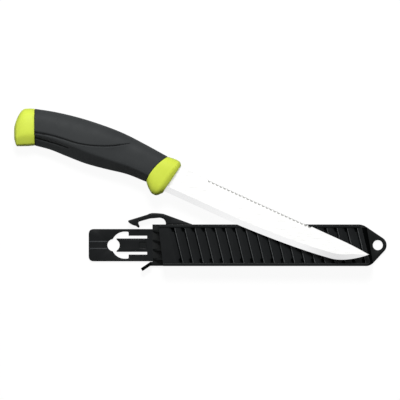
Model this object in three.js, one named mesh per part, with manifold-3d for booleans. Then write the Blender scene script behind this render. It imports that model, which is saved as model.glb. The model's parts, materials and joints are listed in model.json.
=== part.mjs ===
// A fishing knife with scaling teeth along its spine, lying across its moulded sheath.
// Millimetres, +Z up. The sheath lies on its back with its ribbed face up. The knife leans on it:
// the butt of the handle is on the ground and the blade rests on the upper side of the sheath.
// The finished group has its origin under the middle of the whole object.

import * as THREE from 'three';
import { mergeVertices } from 'three/addons/utils/BufferGeometryUtils.js';
import Module from 'manifold-3d';

const wasm = await Module();
wasm.setup();

// Gap between pieces that touch on the real object
const SEAM = 0.3;

// Blade: a flat strip with the spine on top, a ground edge below and a narrower tang in the handle
const BLADE_LENGTH = 150;
const BLADE_HEIGHT = 21;
const BLADE_THICKNESS = 2;
const EDGE_THICKNESS = 0.3;
const BEVEL_WIDTH = 4.3;
const POINT_DROP = 1.2;
const POINT_LENGTH = 23;
const BELLY_LENGTH = 95;
const BELLY_RISE = 6;
const BEVEL_SHARE = 0.45;
const TANG_LENGTH = 80;
const TANG_HEIGHT = 9;

// Where the curves of the belly and of the point are drawn to, as shares of their length and of the rise
const BELLY_PULL = { along: 0.62, up: 0.25 };
const POINT_PULL = { along: 0.46, up: 0.4 };

// Scaling teeth: a row of round-bottomed notches in the spine
const TOOTH_START = 22;
const TOOTH_END = 103;
const TOOTH_PITCH = 3.08;
const TOOTH_LAND = 0.5;
const NOTCH_DEPTH = 1.5;

// Handle: a hard core with a guard in front, a butt behind and a bar between, and a soft sleeve on the bar.
// The grip's middle line falls from the spine's level by the drop, at the butt.
const GUARD_SETBACK = 3.7;
const GUARD_LENGTH = 12.8;
const GUARD_FACE_LEAN = 9.7;
const GUARD_LEAN = 16.3;
const GUARD_BOW = 1.8;
const BOW_REACH = 0.2;
const GRIP_LENGTH = 94;
const BUTT_LEAN = -24.4;
const BUTT_LENGTH = 15;
const BAR_HALF_HEIGHT = 8;
const BAR_HALF_THICKNESS = 4.6;
const GRIP_DROP = 17.6;
const GRIP_HALF_HEIGHT = 15.3;
const GRIP_HALF_THICKNESS = 10.3;

// Grip stations from the guard (0) to the butt (1), as shares of its drop, half height and half thickness
const GRIP_STATIONS = [
  { at: 0, middle: -0.489, half: 0.791, thick: 0.893 },
  { at: 0.17, middle: -0.472, half: 0.837, thick: 0.903 },
  { at: 0.36, middle: -0.534, half: 0.954, thick: 0.932 },
  { at: 0.54, middle: -0.636, half: 1, thick: 1 },
  { at: 0.72, middle: -0.733, half: 0.967, thick: 1 },
  { at: 0.87, middle: -0.841, half: 0.908, thick: 0.951 },
  { at: 1, middle: -1, half: 0.876, thick: 0.913 },
];

// Guard stations from its back (0) to its face (1), as changes from the grip's first station, in shares
const GUARD_STATIONS = [
  { at: 0, middle: 0, half: 0, thick: 0 },
  { at: 0.28, middle: -0.085, half: 0.124, thick: 0 },
  { at: 0.57, middle: -0.153, half: 0.209, thick: -0.01 },
  { at: 0.84, middle: -0.159, half: 0.157, thick: -0.068 },
  { at: 1, middle: -0.125, half: 0, thick: -0.233 },
];

// Butt stations from the sleeve (0) to the end (1), as changes from the grip's last station, in shares
const BUTT_STATIONS = [
  { at: 0, middle: 0, half: 0, thick: 0 },
  { at: 0.33, middle: -0.006, half: 0.02, thick: 0.01 },
  { at: 0.58, middle: -0.034, half: -0.007, thick: -0.019 },
  { at: 0.76, middle: -0.125, half: -0.111, thick: -0.107 },
  { at: 0.91, middle: -0.239, half: -0.294, thick: -0.282 },
  { at: 1, middle: -0.239, half: -0.562, thick: -0.602 },
];

// Sheath: a flat back plate, and a cover standing on it whose ribbed panel is sunk between two rims
const SHEATH_DEPTH = 17;
const PLATE_THICKNESS = 2.4;
const RIM_WIDTH = 2.2;
const PANEL_DROP = 0.8;
const COVER_WALL = 1.6;
const POCKET_CLEARANCE = 0.85;
const COVER_START = 6.1;
const MOUTH_LEAN = 6.9;
const COVER_END_MARGIN = 0.9;
const END_SLOPE = 2.5;
const RIB_LEAN = 13.7;
const RIB_START = 19.4;
const RIB_PITCH = 7.4;
const GROOVE_RUN = 5.2;
const GROOVE_DEPTH = 1.3;
const BLADE_ROOM = 4.6;

// Nose of the plate, with a hole for a lanyard. Its corners and hole lie past the end of a sheathed blade.
const NOSE_TOP_MARGIN = 3.6;
const NOSE_BOTTOM_MARGIN = 9.4;
const NOSE_HOLE_MARGIN = 14.7;
const NOSE_HOLE_RADIUS = 3.65;
const NOSE_RIM = 2.75;
const NOSE_CORNER_RADIUS = 3.2;

// Guide rails that carry the blade inside the cover, and a flared lip on a foot below the mouth
const RAIL_COUNT = 4;
const RAIL_CLEARANCE = 0.55;
const RAIL_WIDTH = 1.2;
const RAIL_RAMP = 6;
const RAIL_END_GAP = 4;
const LIP_FOOT = 2;
const LIP_LENGTH = 7.1;
const LIP_THICKNESS = 1.8;
const LIP_DEPTH = 8;
const LIP_ANGLE = 34;

// Button strap behind the mouth, with a keyhole and a springy tongue that shuts it
const STRAP_LENGTH = 46.6;
const STRAP_WIDTH = 23.6;
const STRAP_THICKNESS = 2.2;
const STRAP_CORNER_RADIUS = 3.8;
const BUTTON_HOLE_PLACE = 28.5;
const BUTTON_HOLE_RADIUS = 4.4;
const TONGUE_WIDTH = 9.8;
const TONGUE_ROOT = 3.9;
const TONGUE_RECESS_LENGTH = 5.2;
const TONGUE_RECESS_WIDTH = 4.4;
const TONGUE_RECESS_DEPTH = 0.5;
const SLOT_WIDTH = 1.95;
const WING_WIDTH = 3;
const WING_END = 17.4;
const BEAD_SPACING = 5.1;
const BEAD_WIDTH = 0.8;
const BEAD_HEIGHT = 0.35;

// Latch: a sprung hook above the mouth that snaps over the guard
const LATCH_DEPTH = 7;
const LATCH_ROOT_START = 9.8;
const LATCH_ROOT_END = 28.9;
const LATCH_HEIGHT = 8.35;
const LATCH_REACH = 18.2;
const LATCH_ARM_WIDTH = 3.8;
const LATCH_PIVOT_PLACE = 9.2;
const LATCH_KNUCKLE_RADIUS = 1.9;
const BARB_CLEARANCE = 0.8;

// Barb of the latch. Its heel is measured from the arm's end, and its sweep, nib and throat from its point.
// Each curve is drawn to its pull.
const BARB_POINT = 8.2;
const BARB_HEEL = { along: 1.5, down: 2.6, pullDown: 1 };
const BARB_SWEEP = { along: -2.2, up: 1.5, pullAlong: -4.7, pullUp: 2 };
const BARB_NIB = { along: 0.7, up: 1.1 };
const BARB_THROAT = { along: 1, down: 2, pullAlong: -1.2 };

// Where the knife lies: the point where its spine meets the guard, from the middle of the mouth
const KNIFE_PLACE = new THREE.Vector2(22, 56.4);
const KNIFE_TURN = 24.5;

// Fineness of the curved faces
const RING_SIDES = 28;
const RING_SQUARENESS = 2.7;
const CURVE_STEPS = 8;
const EDGE_STEPS = 30;
const GRIP_STEPS = 14;

const radians = THREE.MathUtils.degToRad;
const point = (x, y) => new THREE.Vector2(x, y);

// Turns a closed triangle mesh into a solid for joining and cutting
function toSolid(geometry) {
  const bare = geometry.clone();
  bare.deleteAttribute('normal');
  bare.deleteAttribute('uv');
  const merged = mergeVertices(bare, 1e-4);
  const vertProperties = new Float32Array(merged.attributes.position.array);
  const triVerts = new Uint32Array(merged.index.array);
  return new wasm.Manifold(new wasm.Mesh({ numProp: 3, vertProperties, triVerts }));
}

// Turns a solid back into a mesh
function toGeometry(solid) {
  const mesh = solid.getMesh();
  const geometry = new THREE.BufferGeometry();
  geometry.setAttribute('position', new THREE.BufferAttribute(mesh.vertProperties, 3));
  geometry.setIndex(new THREE.BufferAttribute(mesh.triVerts, 1));
  geometry.computeVertexNormals();
  return geometry;
}

// A flat shape given depth, from a lower level to an upper one
function slab(shape, lower, upper) {
  const settings = { depth: upper - lower, bevelEnabled: false, curveSegments: CURVE_STEPS };
  const geometry = new THREE.ExtrudeGeometry(shape, settings);
  geometry.translate(0, 0, lower);
  return toSolid(geometry);
}

// A closed skin through a row of rings with equally many points. Each ring runs anticlockwise
// as seen from the last ring.
function loft(rings) {
  const sides = rings[0].length;
  const positions = rings.flat().flatMap((p) => [p.x, p.y, p.z]);
  const indices = [];
  for (let ring = 0; ring + 1 < rings.length; ring += 1) {
    for (let side = 0; side < sides; side += 1) {
      const here = ring * sides + side;
      const next = ring * sides + ((side + 1) % sides);
      indices.push(here, next, next + sides, here, next + sides, here + sides);
    }
  }
  for (const [ring, turned] of [[0, true], [rings.length - 1, false]]) {
    const middle = new THREE.Vector3();
    rings[ring].forEach((p) => middle.addScaledVector(p, 1 / sides));
    const hub = positions.length / 3;
    positions.push(middle.x, middle.y, middle.z);
    for (let side = 0; side < sides; side += 1) {
      const here = ring * sides + side;
      const next = ring * sides + ((side + 1) % sides);
      indices.push(hub, turned ? next : here, turned ? here : next);
    }
  }
  const geometry = new THREE.BufferGeometry();
  geometry.setAttribute('position', new THREE.Float32BufferAttribute(positions, 3));
  geometry.setIndex(indices);
  return toSolid(geometry);
}

// A shape through corner points, each with its own rounding radius
function roundedShape(corners) {
  const shape = new THREE.Shape();
  corners.forEach(([corner, radius], i) => {
    const [before] = corners[(i + corners.length - 1) % corners.length];
    const [after] = corners[(i + 1) % corners.length];
    const entry = corner.clone().add(before.clone().sub(corner).setLength(radius));
    const exit = corner.clone().add(after.clone().sub(corner).setLength(radius));
    if (i === 0) {
      shape.moveTo(entry.x, entry.y);
    } else {
      shape.lineTo(entry.x, entry.y);
    }
    shape.quadraticCurveTo(corner.x, corner.y, exit.x, exit.y);
  });
  return shape;
}

function disc(x, y, radius) {
  return new THREE.Shape().absarc(x, y, radius, 0, 2 * Math.PI, false);
}

function rectangle(left, right, low, high) {
  return new THREE.Shape([point(left, low), point(right, low), point(right, high), point(left, high)]);
}

// Blade, in the knife's own frame: x along the spine towards the point, y towards the spine

const guardFaceAt = (y) => -GUARD_SETBACK + (y - guardStation(1).middle) * Math.tan(radians(GUARD_FACE_LEAN));

// The ground edge: straight from the heel, then a long rising belly and a short turn up to the point
function edgePath() {
  const heel = point(guardFaceAt(-BLADE_HEIGHT) + SEAM, -BLADE_HEIGHT);
  const bellyStart = point(BLADE_LENGTH - BELLY_LENGTH, -BLADE_HEIGHT);
  const bellyEnd = point(BLADE_LENGTH - POINT_LENGTH, -BLADE_HEIGHT + BELLY_RISE);
  const tip = point(BLADE_LENGTH, -POINT_DROP);
  const bellyPull = point(
    bellyStart.x + BELLY_PULL.along * (bellyEnd.x - bellyStart.x),
    bellyStart.y + BELLY_PULL.up * BELLY_RISE,
  );
  const pointPull = point(
    bellyEnd.x + POINT_PULL.along * POINT_LENGTH,
    bellyEnd.y + POINT_PULL.up * BELLY_RISE,
  );
  const path = new THREE.Path();
  path.moveTo(heel.x, heel.y);
  path.lineTo(bellyStart.x, bellyStart.y);
  path.quadraticCurveTo(bellyPull.x, bellyPull.y, bellyEnd.x, bellyEnd.y);
  path.quadraticCurveTo(pointPull.x, pointPull.y, tip.x, tip.y);
  return path;
}

// The spine is straight and bends down a little over the last stretch
function spineAt(x) {
  const along = Math.max(0, (x - BLADE_LENGTH + POINT_LENGTH) / POINT_LENGTH);
  return -POINT_DROP * along ** 2;
}

function bladeRing(edge) {
  const heel = guardFaceAt(-BLADE_HEIGHT) + SEAM;
  const share = (edge.x - heel) / (BLADE_LENGTH - heel);
  const spineX = THREE.MathUtils.lerp(guardFaceAt(0) + SEAM, BLADE_LENGTH, share);
  const spine = point(spineX, Math.max(spineAt(spineX), edge.y + EDGE_THICKNESS));
  const height = spine.distanceTo(edge);
  const bevel = edge.clone().lerp(spine, Math.min(BEVEL_WIDTH, BEVEL_SHARE * height) / height);
  const half = BLADE_THICKNESS / 2;
  const sharp = EDGE_THICKNESS / 2;
  const right = [[spine, half], [bevel, half], [edge, sharp]];
  const left = [[edge, -sharp], [bevel, -half], [spine, -half]];
  return [...left, ...right].map(([p, z]) => new THREE.Vector3(p.x, p.y, z));
}

// The tang follows the middle of the handle. With clearance it is the slot for the tang.
function tang(clearance) {
  const half = TANG_HEIGHT / 2 + clearance;
  const line = steps(CURVE_STEPS).map((share) => {
    const x = THREE.MathUtils.lerp(BEVEL_WIDTH, -TANG_LENGTH - clearance, share);
    return point(x, gripStation((-x - GUARD_SETBACK - GUARD_LENGTH) / GRIP_LENGTH).middle);
  });
  const upper = line.map((p) => point(p.x, p.y + half));
  const lower = line.map((p) => point(p.x, p.y - half)).reverse();
  const side = BLADE_THICKNESS / 2 + clearance;
  return slab(new THREE.Shape([...upper, ...lower]), -side, side);
}

function notch(x) {
  const radius = (TOOTH_PITCH - TOOTH_LAND) / 2;
  const bottom = -NOTCH_DEPTH + radius;
  const shape = new THREE.Shape();
  shape.moveTo(x - radius, NOTCH_DEPTH);
  shape.lineTo(x - radius, bottom);
  shape.absarc(x, bottom, radius, Math.PI, 2 * Math.PI, false);
  shape.lineTo(x + radius, NOTCH_DEPTH);
  return slab(shape, -BLADE_THICKNESS, BLADE_THICKNESS);
}

function blade() {
  const edge = edgePath().getSpacedPoints(EDGE_STEPS);
  let solid = loft(edge.map(bladeRing)).add(tang(0));
  for (let x = TOOTH_START; x <= TOOTH_END; x += TOOTH_PITCH) {
    solid = solid.subtract(notch(x));
  }
  return solid;
}

// Handle, in the knife's own frame

// Reads smooth sizes from a row of stations, at a place from 0 to 1
function stationReader(stations) {
  const places = stations.map((s) => s.at);
  const values = stations.flatMap(
    (s) => [s.middle * GRIP_DROP, s.half * GRIP_HALF_HEIGHT, s.thick * GRIP_HALF_THICKNESS],
  );
  const curve = new THREE.CubicInterpolant(places, values, 3);
  return (at) => {
    const [middle, half, thick] = curve.evaluate(THREE.MathUtils.clamp(at, 0, 1));
    return { middle, half, thick };
  };
}

const gripStation = stationReader(GRIP_STATIONS);
const guardChange = stationReader(GUARD_STATIONS);
const buttChange = stationReader(BUTT_STATIONS);
const sum = (a, b) => ({ middle: a.middle + b.middle, half: a.half + b.half, thick: a.thick + b.thick });
const guardStation = (at) => sum(gripStation(0), guardChange(at));
const gripEnd = -GUARD_SETBACK - GUARD_LENGTH - GRIP_LENGTH;

// One rounded section of the handle. The lean tips its top forwards, and the bow draws its sides back.
function handleRing(centre, lean, half, thick, bow = 0) {
  const up = point(Math.sin(lean), Math.cos(lean));
  const ring = [];
  for (let i = 0; i < RING_SIDES; i += 1) {
    const angle = (2 * Math.PI * i) / RING_SIDES;
    const [rise, side] = [Math.cos(angle), Math.sin(angle)]
      .map((x) => Math.sign(x) * Math.abs(x) ** (2 / RING_SQUARENESS));
    const x = centre.x + up.x * half * rise - bow * (1 - rise ** 2);
    ring.push(new THREE.Vector3(x, centre.y + up.y * half * rise, thick * side));
  }
  return ring;
}

function gripRing(at) {
  const { middle, half, thick } = gripStation(at);
  const lean = radians(THREE.MathUtils.lerp(GUARD_LEAN, BUTT_LEAN, at));
  const bow = GUARD_BOW * Math.max(0, 1 - at / BOW_REACH);
  return handleRing(point(-GUARD_SETBACK - GUARD_LENGTH - at * GRIP_LENGTH, middle), lean, half, thick, bow);
}

function guardRing(at) {
  const { middle, half, thick } = guardStation(at);
  const lean = radians(THREE.MathUtils.lerp(GUARD_LEAN, GUARD_FACE_LEAN, at));
  const x = -GUARD_SETBACK - (1 - at) * GUARD_LENGTH;
  return handleRing(point(x, middle), lean, half, thick, GUARD_BOW * (1 - at));
}

function buttRing(at) {
  const start = gripStation(1);
  const { middle, half, thick } = buttChange(at);
  const lean = radians(BUTT_LEAN);
  const along = at * BUTT_LENGTH;
  const x = gripEnd - along * Math.cos(lean) + middle * Math.sin(lean);
  const y = start.middle + along * Math.sin(lean) + middle * Math.cos(lean);
  return handleRing(point(x, y), lean, start.half + half, start.thick + thick);
}

const steps = (count) => Array.from({ length: count + 1 }, (_, i) => i / count);

// The bar inside the sleeve, or the hollow for it when it is given clearance and runs past both ends
function bar(clearance, overrun) {
  const rings = steps(GRIP_STEPS).map((share) => {
    const at = share * (1 + (2 * overrun) / GRIP_LENGTH) - overrun / GRIP_LENGTH;
    const lean = radians(THREE.MathUtils.lerp(GUARD_LEAN, BUTT_LEAN, at));
    const centre = point(-GUARD_SETBACK - GUARD_LENGTH - at * GRIP_LENGTH, gripStation(at).middle);
    return handleRing(centre, lean, BAR_HALF_HEIGHT + clearance, BAR_HALF_THICKNESS + clearance);
  });
  return loft(rings.reverse());
}

function handleCore() {
  const guard = loft(steps(CURVE_STEPS).map(guardRing));
  const butt = loft(steps(CURVE_STEPS).map(buttRing).reverse());
  return guard.add(bar(0, GUARD_BOW)).add(butt).subtract(tang(SEAM));
}

function gripSleeve() {
  const gap = SEAM / GRIP_LENGTH;
  const places = steps(GRIP_STEPS).map((share) => THREE.MathUtils.lerp(gap, 1 - gap, share));
  return loft(places.map(gripRing).reverse()).subtract(bar(SEAM, GUARD_LENGTH));
}

// Sheath, in its own frame: x from the mouth to the nose, y across it, z up from its back

const panelHalf = BLADE_HEIGHT / 2 + POCKET_CLEARANCE + COVER_WALL;
const sheathHalf = panelHalf + RIM_WIDTH;
const strapHalf = STRAP_WIDTH / 2;
const ribSlope = Math.tan(radians(RIB_LEAN));
const mouthSlope = Math.tan(radians(MOUTH_LEAN));
const panelTop = SHEATH_DEPTH - PANEL_DROP;
const coverFloor = panelTop - GROOVE_DEPTH - COVER_WALL;
const noseTop = BLADE_LENGTH + NOSE_TOP_MARGIN;
const noseBottom = BLADE_LENGTH + NOSE_BOTTOM_MARGIN;
const noseHole = BLADE_LENGTH + NOSE_HOLE_MARGIN;
const coverEnd = (noseTop + noseBottom) / 2 - COVER_END_MARGIN;

// Where a line from a corner touches a circle on the side that is given
function touchPoint(corner, centre, radius, side) {
  const toCorner = corner.clone().sub(centre);
  const angle = toCorner.angle() - side * Math.acos(radius / toCorner.length());
  return { angle, at: point(centre.x + radius * Math.cos(angle), centre.y + radius * Math.sin(angle)) };
}

function plateShape() {
  const nose = point(noseHole, 0);
  const radius = NOSE_HOLE_RADIUS + NOSE_RIM;
  const topCorner = point(noseTop, sheathHalf);
  const bottomCorner = point(noseBottom, -sheathHalf);
  const top = touchPoint(topCorner, nose, radius, 1);
  const bottom = touchPoint(bottomCorner, nose, radius, -1);
  const cut = (corner, touch) => corner.clone().lerp(touch, NOSE_CORNER_RADIUS / corner.distanceTo(touch));
  const topCut = cut(topCorner, top.at);
  const bottomCut = cut(bottomCorner, bottom.at);
  const shape = new THREE.Shape();
  shape.moveTo(0, -sheathHalf);
  shape.lineTo(bottomCorner.x - NOSE_CORNER_RADIUS, -sheathHalf);
  shape.quadraticCurveTo(bottomCorner.x, bottomCorner.y, bottomCut.x, bottomCut.y);
  shape.lineTo(bottom.at.x, bottom.at.y);
  shape.absarc(nose.x, nose.y, radius, bottom.angle, top.angle, false);
  shape.lineTo(topCut.x, topCut.y);
  shape.quadraticCurveTo(topCorner.x, topCorner.y, topCorner.x - NOSE_CORNER_RADIUS, sheathHalf);
  shape.lineTo(0, sheathHalf);
  return shape;
}

const railTop = coverFloor - BLADE_ROOM;
const outerRail = panelHalf - COVER_WALL - RAIL_CLEARANCE - RAIL_WIDTH / 2;
const railPitch = (2 * outerRail) / (RAIL_COUNT - 1);

// A rail stands on the plate, with a ramp at the mouth that leads the blade in
function rail(y) {
  const end = coverEnd - ribSlope * y - COVER_WALL - RAIL_END_GAP;
  const profile = [[0, 0], [end, 0], [end, railTop], [RAIL_RAMP, railTop], [0, PLATE_THICKNESS]];
  const sides = [y - RAIL_WIDTH / 2, y + RAIL_WIDTH / 2];
  return loft(sides.map((side) => profile.map(([x, z]) => new THREE.Vector3(x, side, z)).reverse()));
}

// The lip is a thin wall that flares outwards from a foot of the plate, just below the strap
function lip() {
  const lean = radians(LIP_ANGLE);
  const along = point(-Math.cos(lean), -Math.sin(lean));
  const across = point(-Math.sin(lean), Math.cos(lean)).multiplyScalar(LIP_THICKNESS / 2);
  const start = point(-LIP_FOOT, -sheathHalf + LIP_THICKNESS / 2);
  const root = start.clone().addScaledVector(along, -LIP_THICKNESS / 2);
  const end = start.clone().addScaledVector(along, LIP_LENGTH);
  const wall = new THREE.Shape([
    root.clone().add(across), root.clone().sub(across), end.clone().sub(across), end.clone().add(across),
  ].reverse());
  const foot = rectangle(-LIP_FOOT, RIM_WIDTH, -sheathHalf, -strapHalf - SEAM);
  return slab(wall, 0, LIP_DEPTH).add(slab(foot, 0, PLATE_THICKNESS));
}

const latchPivot = point(LATCH_PIVOT_PLACE, sheathHalf + LATCH_HEIGHT - LATCH_ARM_WIDTH + SEAM);

// The fixed root of the latch is a ramp on the plate's edge. It is cut to clear the knuckle and the cover.
function latchRoot() {
  const top = sheathHalf + LATCH_HEIGHT - LATCH_KNUCKLE_RADIUS / 2;
  const shape = new THREE.Shape([
    point(LATCH_ROOT_START, sheathHalf - RIM_WIDTH / 2),
    point(LATCH_ROOT_END, sheathHalf - RIM_WIDTH / 2),
    point(LATCH_ROOT_END, sheathHalf),
    point(LATCH_ROOT_START, top),
  ]);
  const clear = disc(latchPivot.x, latchPivot.y, LATCH_KNUCKLE_RADIUS + SEAM);
  const cover = rectangle(LATCH_ROOT_START - SEAM, LATCH_ROOT_END + SEAM, 0, sheathHalf + SEAM);
  return slab(shape, 0, LATCH_DEPTH)
    .subtract(slab(clear, -SEAM, LATCH_DEPTH + SEAM))
    .subtract(slab(cover, PLATE_THICKNESS, LATCH_DEPTH + SEAM));
}

function sheathBack() {
  let solid = slab(plateShape(), 0, PLATE_THICKNESS);
  for (let i = 0; i < RAIL_COUNT; i += 1) {
    solid = solid.add(rail(i * railPitch - outerRail));
  }
  solid = solid.add(lip()).add(latchRoot());
  return solid.subtract(slab(disc(noseHole, 0, NOSE_HOLE_RADIUS), -SEAM, PLATE_THICKNESS + SEAM));
}

// A block between the leaning mouth and the sloped end wall, with a half width and an inset at its end
function coverBlock(half, inset, start, lower, upper) {
  const level = (z) => {
    const end = coverEnd - inset + (END_SLOPE * (SHEATH_DEPTH - z)) / (SHEATH_DEPTH - PLATE_THICKNESS);
    const mouthAt = (y) => new THREE.Vector3(start - mouthSlope * y, y, z);
    const endAt = (y) => new THREE.Vector3(end - ribSlope * y, y, z);
    return [mouthAt(-half), endAt(-half), endAt(half), mouthAt(half)];
  };
  return loft([level(lower), level(upper)]);
}

// A groove sinks gently towards the nose and ends in a steep step
function groove(x) {
  const section = (y) => [
    [x - GROOVE_RUN, panelTop + SEAM],
    [x - GROOVE_RUN, panelTop],
    [x, panelTop - GROOVE_DEPTH],
    [x, panelTop + SEAM],
  ].map(([along, z]) => new THREE.Vector3(along - ribSlope * y, y, z));
  return loft([section(-panelHalf).reverse(), section(panelHalf).reverse()]);
}

function sheathFront() {
  const floor = PLATE_THICKNESS + SEAM;
  const before = -GUARD_LENGTH;
  let solid = coverBlock(sheathHalf, 0, COVER_START, floor, SHEATH_DEPTH);
  solid = solid.intersect(slab(plateShape(), 0, SHEATH_DEPTH + SEAM));
  solid = solid.subtract(coverBlock(panelHalf - COVER_WALL, COVER_WALL, before, floor - SEAM, coverFloor));
  solid = solid.subtract(coverBlock(panelHalf, -RIM_WIDTH, before, panelTop, SHEATH_DEPTH + SEAM));
  for (let x = RIB_START; x < coverEnd; x += RIB_PITCH) {
    solid = solid.subtract(groove(x));
  }
  return solid;
}

// Button strap

const tongueHalf = TONGUE_WIDTH / 2;
const tongueTip = -BUTTON_HOLE_PLACE + BUTTON_HOLE_RADIUS / 2;
const slotOuter = tongueHalf + SLOT_WIDTH;

function strapShape() {
  const right = -SEAM;
  return roundedShape([
    [point(-STRAP_LENGTH, strapHalf), STRAP_CORNER_RADIUS],
    [point(-STRAP_LENGTH, -strapHalf), STRAP_CORNER_RADIUS],
    [point(right, -strapHalf), SEAM],
    [point(right, strapHalf), SEAM],
  ]);
}

// A wing opens out of the round hole and ends square, just above a slot
function wingShape(side) {
  const inner = side * (slotOuter - SLOT_WIDTH);
  const outer = side * (slotOuter + WING_WIDTH);
  const shape = new THREE.Shape();
  shape.moveTo(-BUTTON_HOLE_PLACE, inner / 2);
  shape.quadraticCurveTo(-BUTTON_HOLE_PLACE + BUTTON_HOLE_RADIUS / 2, outer, -WING_END - WING_WIDTH, outer);
  shape.lineTo(-WING_END, outer);
  shape.lineTo(-WING_END, inner / 2);
  return shape;
}

function beltStrap() {
  const below = -SEAM;
  const above = STRAP_THICKNESS + BEAD_HEIGHT + SEAM;
  let solid = slab(strapShape(), 0, STRAP_THICKNESS);
  for (const side of [1, -1]) {
    const beadMiddle = (side * BEAD_SPACING) / 2;
    const edges = [beadMiddle - BEAD_WIDTH / 2, beadMiddle + BEAD_WIDTH / 2];
    const bead = rectangle(-STRAP_LENGTH + SEAM, -BUTTON_HOLE_PLACE, ...edges);
    solid = solid.add(slab(bead, STRAP_THICKNESS / 2, STRAP_THICKNESS + BEAD_HEIGHT));
  }
  for (const side of [1, -1]) {
    solid = solid.subtract(slab(wingShape(side), below, above));
  }
  const window = rectangle(tongueTip, -TONGUE_ROOT, -slotOuter, slotOuter);
  solid = solid.subtract(slab(window, below, above));
  return solid.subtract(slab(disc(-BUTTON_HOLE_PLACE, 0, BUTTON_HOLE_RADIUS), below, above));
}

function buttonTongue() {
  const root = -TONGUE_ROOT - SEAM;
  const tongue = rectangle(tongueTip, root, -tongueHalf, tongueHalf);
  const recess = rectangle(
    root - TONGUE_RECESS_LENGTH - SEAM, root - SEAM, -TONGUE_RECESS_WIDTH / 2, TONGUE_RECESS_WIDTH / 2);
  const hole = disc(-BUTTON_HOLE_PLACE, 0, BUTTON_HOLE_RADIUS);
  return slab(tongue, 0, STRAP_THICKNESS)
    .subtract(slab(hole, -SEAM, STRAP_THICKNESS + SEAM))
    .subtract(slab(recess, STRAP_THICKNESS - TONGUE_RECESS_DEPTH, STRAP_THICKNESS + SEAM));
}

// The latch arm rises from its knuckle, runs out over the mouth and ends in a barb above the strap
function latchHook() {
  const top = sheathHalf + LATCH_HEIGHT;
  const barb = strapHalf + BARB_CLEARANCE;
  const armTip = top - LATCH_ARM_WIDTH - 2 * SEAM;
  const end = -LATCH_REACH;
  const barbPoint = end + BARB_POINT;
  const throat = armTip - BARB_THROAT.down;
  const shape = new THREE.Shape();
  shape.moveTo(latchPivot.x, latchPivot.y + LATCH_KNUCKLE_RADIUS);
  shape.quadraticCurveTo(latchPivot.x - LATCH_ARM_WIDTH, top, 0, top);
  shape.quadraticCurveTo(-LATCH_ARM_WIDTH / 2, top, -LATCH_ARM_WIDTH, top - SEAM * 4);
  shape.lineTo(end + SEAM * 4, armTip - SEAM * 2);
  shape.quadraticCurveTo(
    end - SEAM, armTip - BARB_HEEL.pullDown, end + BARB_HEEL.along, armTip - BARB_HEEL.down);
  shape.quadraticCurveTo(
    barbPoint + BARB_SWEEP.pullAlong, barb + BARB_SWEEP.pullUp,
    barbPoint + BARB_SWEEP.along, barb + BARB_SWEEP.up);
  shape.lineTo(barbPoint, barb);
  shape.lineTo(barbPoint + BARB_NIB.along, barb + BARB_NIB.up);
  shape.quadraticCurveTo(barbPoint + BARB_THROAT.pullAlong, throat, barbPoint + BARB_THROAT.along, throat);
  shape.lineTo(-LATCH_ARM_WIDTH / 2, top - LATCH_ARM_WIDTH - SEAM);
  shape.lineTo(latchPivot.x - LATCH_ARM_WIDTH, top - LATCH_ARM_WIDTH + SEAM);
  shape.lineTo(latchPivot.x, latchPivot.y - LATCH_KNUCKLE_RADIUS);
  const knuckle = disc(latchPivot.x, latchPivot.y, LATCH_KNUCKLE_RADIUS);
  return slab(shape, 0, LATCH_DEPTH).add(slab(knuckle, 0, LATCH_DEPTH));
}

// Materials and assembly

const steel = new THREE.MeshStandardMaterial({ color: 0xd9dadb, roughness: 0.28, metalness: 1 });
const limePlastic = new THREE.MeshStandardMaterial({ color: 0xc8e83a, roughness: 0.45, metalness: 0 });
const softGrip = new THREE.MeshStandardMaterial({ color: 0x2f3032, roughness: 0.7, metalness: 0 });
const sheathPlastic = new THREE.MeshStandardMaterial({ color: 0x1d1f20, roughness: 0.5, metalness: 0 });

function piece(name, solid, material) {
  const mesh = new THREE.Mesh(toGeometry(solid), material);
  mesh.name = name;
  return mesh;
}

const sheath = new THREE.Group();
sheath.add(
  piece('sheath_back', sheathBack(), sheathPlastic),
  piece('sheath_front', sheathFront(), sheathPlastic),
  piece('belt_strap', beltStrap(), sheathPlastic),
  piece('button_tongue', buttonTongue(), sheathPlastic),
  piece('latch_hook', latchHook(), sheathPlastic),
);

const knife = new THREE.Group();
knife.add(
  piece('blade', blade(), steel),
  piece('handle_core', handleCore(), limePlastic),
  piece('grip_sleeve', gripSleeve(), softGrip),
);

// The knife is turned in plan, then tipped up. It stands on the butt, and the foot of its blade's flat side
// lies on the upper rim of the cover.
const turn = radians(KNIFE_TURN);
const flatHeight = BLADE_HEIGHT - BEVEL_WIDTH;
const crossing = (KNIFE_PLACE.y - sheathHalf - flatHeight * Math.cos(turn)) / Math.sin(turn);
const footPlace = BUTT_STATIONS[1].at;
const footing = gripEnd - footPlace * BUTT_LENGTH * Math.cos(radians(BUTT_LEAN));
const rise = SHEATH_DEPTH + SEAM + BLADE_THICKNESS / 2 - gripStation(1).thick - buttChange(footPlace).thick;
knife.rotation.set(0, -Math.asin(rise / (crossing - footing)), -turn, 'ZYX');
knife.position.set(KNIFE_PLACE.x, KNIFE_PLACE.y, 0);
knife.updateMatrixWorld(true);
knife.position.z = -new THREE.Box3().setFromObject(knife, true).min.z;

const scaler = new THREE.Group();
scaler.add(sheath, knife);
scaler.updateMatrixWorld(true);
const extent = new THREE.Box3().setFromObject(scaler, true);
const middle = extent.getCenter(new THREE.Vector3());
scaler.position.set(-middle.x, -middle.y, -extent.min.z);

export default scaler;
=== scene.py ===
"""Looks of a fishing knife with scaling teeth on its spine, lying across its moulded sheath."""

import json
import math

import bmesh
import bpy
import numpy as np
from mathutils import Matrix, Vector


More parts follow.
